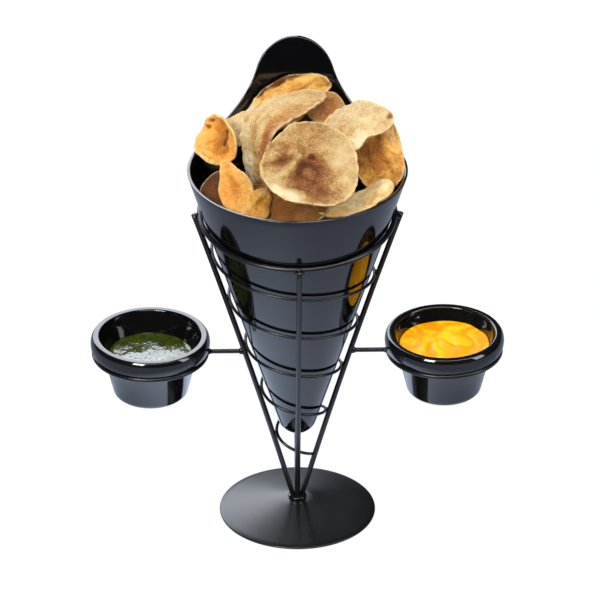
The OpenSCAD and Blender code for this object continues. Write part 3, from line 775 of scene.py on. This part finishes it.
def outline_share(a, shares):
    """How far a chip's outline lies from its middle, in one direction: a smooth line through its shares."""
    t = a / math.tau % 1 * len(shares)
    i, f = int(t), t - int(t)
    p = [shares[(i + k) % len(shares)] for k in (-1, 0, 1, 2)]
    return p[1] + f / 2 * (p[2] - p[0] + f * (2 * p[0] - 5 * p[1] + 4 * p[2] - p[3]
                                              + f * (3 * (p[1] - p[2]) + p[3] - p[0])))


def toast_and_painted_light_at(flat, seed, spots):
    """How browned a chip is at a place by its spots, which have wandering outlines. Below 0 it is paler; some
    of these pale spots are painted light on shaded sides.
    """
    astray = flat + 0.16 * Vector((noise.noise(flat * 2.6 + seed), noise.noise(flat * 2.6 + seed * 1.7), 0))
    patchy = 0.8 + 0.6 * noise.noise(flat * 5 + seed)
    heats = [0.0]
    for x, y, r, strength in spots:
        away = ((astray.x - x) ** 2 + (astray.y - y) ** 2) / r ** 2
        heats.append(strength * max(0.0, 1 - away * 0.6))
    return patchy * (max(heats) + min(heats))


def ripple_at(name, flat, here, seed):
    """Height of a chip's blisters and creases in millimetres."""
    bubble = max(0.0, noise.noise(here * 0.24 + seed * 1.3) - 0.1)
    pimple = max(0.0, noise.noise(here * 0.55 + seed * 2.1) - 0.15)
    blisters = BLISTER_H * noise.noise(here * 0.15 + seed) + BUBBLE_H * bubble + PIMPLE_H * pimple
    return blisters + crease_height(name, flat.x, flat.y)


def bent_over(x, y, lift, bend, reach):
    """A place on a chip that is bent to an angle within its reach and runs straight on past it."""
    bent = max(-reach, min(reach, x))
    angle = math.radians(bend) * bent / reach
    bend_r = reach / math.radians(bend)
    past = x - bent
    return Vector((bend_r * math.sin(angle) + past * math.cos(angle) - lift * math.sin(angle), y,
                   bend_r * (1 - math.cos(angle)) + past * math.sin(angle) + lift * math.cos(angle)))


def chip(name, number):
    """One fried slice: a disc of rings, bent and blistered, then given its thickness."""
    (half_w, half_l), place, (tilt, turn, spin), bend, fold, wave, start, shares = CHIPS[name]
    light, middle, burnt, speckle, spots = LOOKS[name]
    size = math.sqrt(half_w * half_l)
    rings, sides = max(20, int(125 * size)), max(80, int(470 * size))
    bm = bmesh.new()
    turned_round(bm, line_of(bm, [(i / rings, 0, 0) for i in range(rings + 1)]), sides, 1e-5)
    toast_and_shade_layer = bm.verts.layers.float.new("toast_and_shade")
    rim_layer = bm.verts.layers.float.new("rim")
    seed = Vector((number * 17.3, number * 5.7, number * 11.1))
    half_width, half_length = half_w * CONE_MOUTH_R, half_l * CONE_MOUTH_R
    lean = (Matrix.Rotation(math.radians(turn), 4, "Z") @ Matrix.Rotation(math.radians(tilt), 4, "Y")
            @ Matrix.Rotation(math.radians(spin), 4, "Z"))
    laid = Matrix.Translation(Vector((0, 0, RIM_Z)) + Vector(place) * CONE_MOUTH_R) @ lean
    for v in bm.verts:
        out, a = v.co.length, math.atan2(v.co.y, v.co.x)
        flat = Vector((v.co.x, v.co.y, 0))
        way = Vector((math.cos(a), math.sin(a), 0))
        ragged = 1 + (0.03 * noise.noise(way * 4 + seed) + 0.015 * noise.noise(way * 14 + seed)) * out ** 4
        edge = out * outline_share(a, shares) * ragged
        here = Vector((half_width * edge * math.cos(a), half_length * edge * math.sin(a), 0))
        ripple = ripple_at(name, flat, here, seed)
        swell = SWELL_H * noise.noise(here * 0.06 + seed) * (0.4 + out)
        wavy = wave * half_width * out * out * math.sin(3 * a + math.radians(start))
        curl = wavy + EDGE_CURL_H * out ** 6 * noise.noise(way * 2 + seed)
        lift = curl + swell + ripple + GRAIN_H * noise.noise(here * 1.1 + seed)
        # The ripple term is painted relief shade: browner in the valleys of the blisters and creases, paler
        # on their ridges
        v[toast_and_shade_layer] = toast_and_painted_light_at(flat, seed, spots) - 0.17 * ripple + 0.08
        v[rim_layer] = out
        v.co = (laid @ bent_over(here.x, here.y, lift, bend, fold * half_width)) * MM
    bmesh.ops.recalc_face_normals(bm, faces=bm.faces)
    kind = name.removeprefix("chip_")
    finish = fried_slice("fried_" + kind, light, middle, burnt, speckle, tuple(seed * 0.01))
    piece = piece_from(bm, "slice_" + kind, finish, [name])
    thick = piece.modifiers.new("thickness", "SOLIDIFY")
    thick.thickness = CHIP_T * CHIP_SKIN_SHARE * MM
    thick.offset = 0
    soften(piece, CHIP_EDGE_ROUND, 2)


for number, name in enumerate(CHIPS):
    chip(name, number)


# Studio: pale floor, soft lamps, and a world that shows white to the camera

def floor_finish():
    """Pale matt floor that shows nearly white to the camera and a cool glow in glossy reflections."""
    f = Finish("studio_floor")
    matt = f.node("ShaderNodeBsdfDiffuse", {}, {"Color": (0.86, 0.86, 0.87, 1)})
    glow = f.node("ShaderNodeEmission", {}, {"Color": (1, 1, 1, 1), "Strength": 1.03})
    far = f.node("ShaderNodeVectorMath", {"operation": "LENGTH"}, {0: f.place}, "Value").ramp(0.06, 0.24)
    across = f.node("ShaderNodeSeparateXYZ", {}, {0: f.place}, "X").ramp(-0.12, 0.1)
    near = f.mix(across, (1.35, 1.6, 2.05), (0.76, 0.85, 1.1))
    tint = f.mix(far, near, (0.36, 0.41, 0.53))
    cool = f.node("ShaderNodeEmission", {}, {"Color": tint, "Strength": 1.0})
    pale = f.mix_shader(0.95, matt, glow)
    seen = (f.ray("Is Camera Ray") + f.ray("Is Transmission Ray")).clamped()
    return f.shown(f.mix_shader(f.ray("Is Glossy Ray"), f.mix_shader(seen, matt, pale), cool))


bm = bmesh.new()
bmesh.ops.create_grid(bm, x_segments=8, y_segments=8, size=9.0)
floor_mesh = bpy.data.meshes.new("studio_floor")
bm.to_mesh(floor_mesh)
bm.free()
floor_mesh.materials.append(floor_finish())
floor = bpy.data.objects.new("studio_floor", floor_mesh)
scene.collection.objects.link(floor)

world = bpy.data.worlds.new("studio")
scene.world = world
room = Nodes(world)


def backdrop(colour, strength):
    """One light of the room."""
    return room.node("ShaderNodeBackground", {}, {"Color": (*colour, 1), "Strength": strength})


soft_light = backdrop((1.0, 0.98, 0.94), 0.3)
mirrored_light = backdrop((0.9, 0.95, 1.0), 0.02)
unseen = room.mix_shader(room.ray("Is Glossy Ray"), soft_light, mirrored_light)
white = backdrop((1, 1, 1), 1.0)
room.show("ShaderNodeOutputWorld", room.mix_shader(room.ray("Is Camera Ray"), unseen, white))


def softbox(name, place, aim, width, height, power, colour=(1, 1, 1)):
    """A rectangular soft lamp that faces a point."""
    lamp = bpy.data.lights.new(name, "AREA")
    lamp.shape = "RECTANGLE"
    lamp.size = width
    lamp.size_y = height
    lamp.energy = power
    lamp.color = colour
    stand = bpy.data.objects.new(name, lamp)
    stand.location = place
    stand.rotation_euler = (Vector(aim) - Vector(place)).to_track_quat("-Z", "Y").to_euler()
    scene.collection.objects.link(stand)


softbox("back_left_box", (-0.535, 1.0, 0.7), (-0.535, 0, 0.7), 1.23, 0.8, 14, (0.9, 0.95, 1.05))
softbox("key_box", (-0.55, -1.0, 1.05), (0, 0, 0.26), 0.45, 0.45, 14.5, (1, 0.97, 0.92))
softbox("top_box", (0.3, -0.6, 1.5), (0, 0, 0.25), 1.6, 0.35, 14, (1, 0.98, 0.95))
softbox("right_box", (1.3, -0.5, 0.9), (0, 0, 0.15), 0.5, 0.9, 7)

# Camera at the photograph's angle
lens = bpy.data.cameras.new("camera")
lens.lens = 372.57
lens.sensor_width = 36
lens.shift_x = 0.0043
lens.shift_y = 0.01678
lens.clip_end = 50
camera = bpy.data.objects.new("camera", lens)
azimuth, elevation, distance = math.radians(-1.2), math.radians(29.665), 4.0
level = Vector((math.sin(azimuth), -math.cos(azimuth), 0))
back = level * math.cos(elevation) + Vector((0, 0, math.sin(elevation)))
camera.location = Vector((0, 0, 0.15)) + back * distance
camera.rotation_euler = (-back).to_track_quat("-Z", "Y").to_euler()
scene.collection.objects.link(camera)
scene.camera = camera
scene.view_settings.view_transform = "Standard"
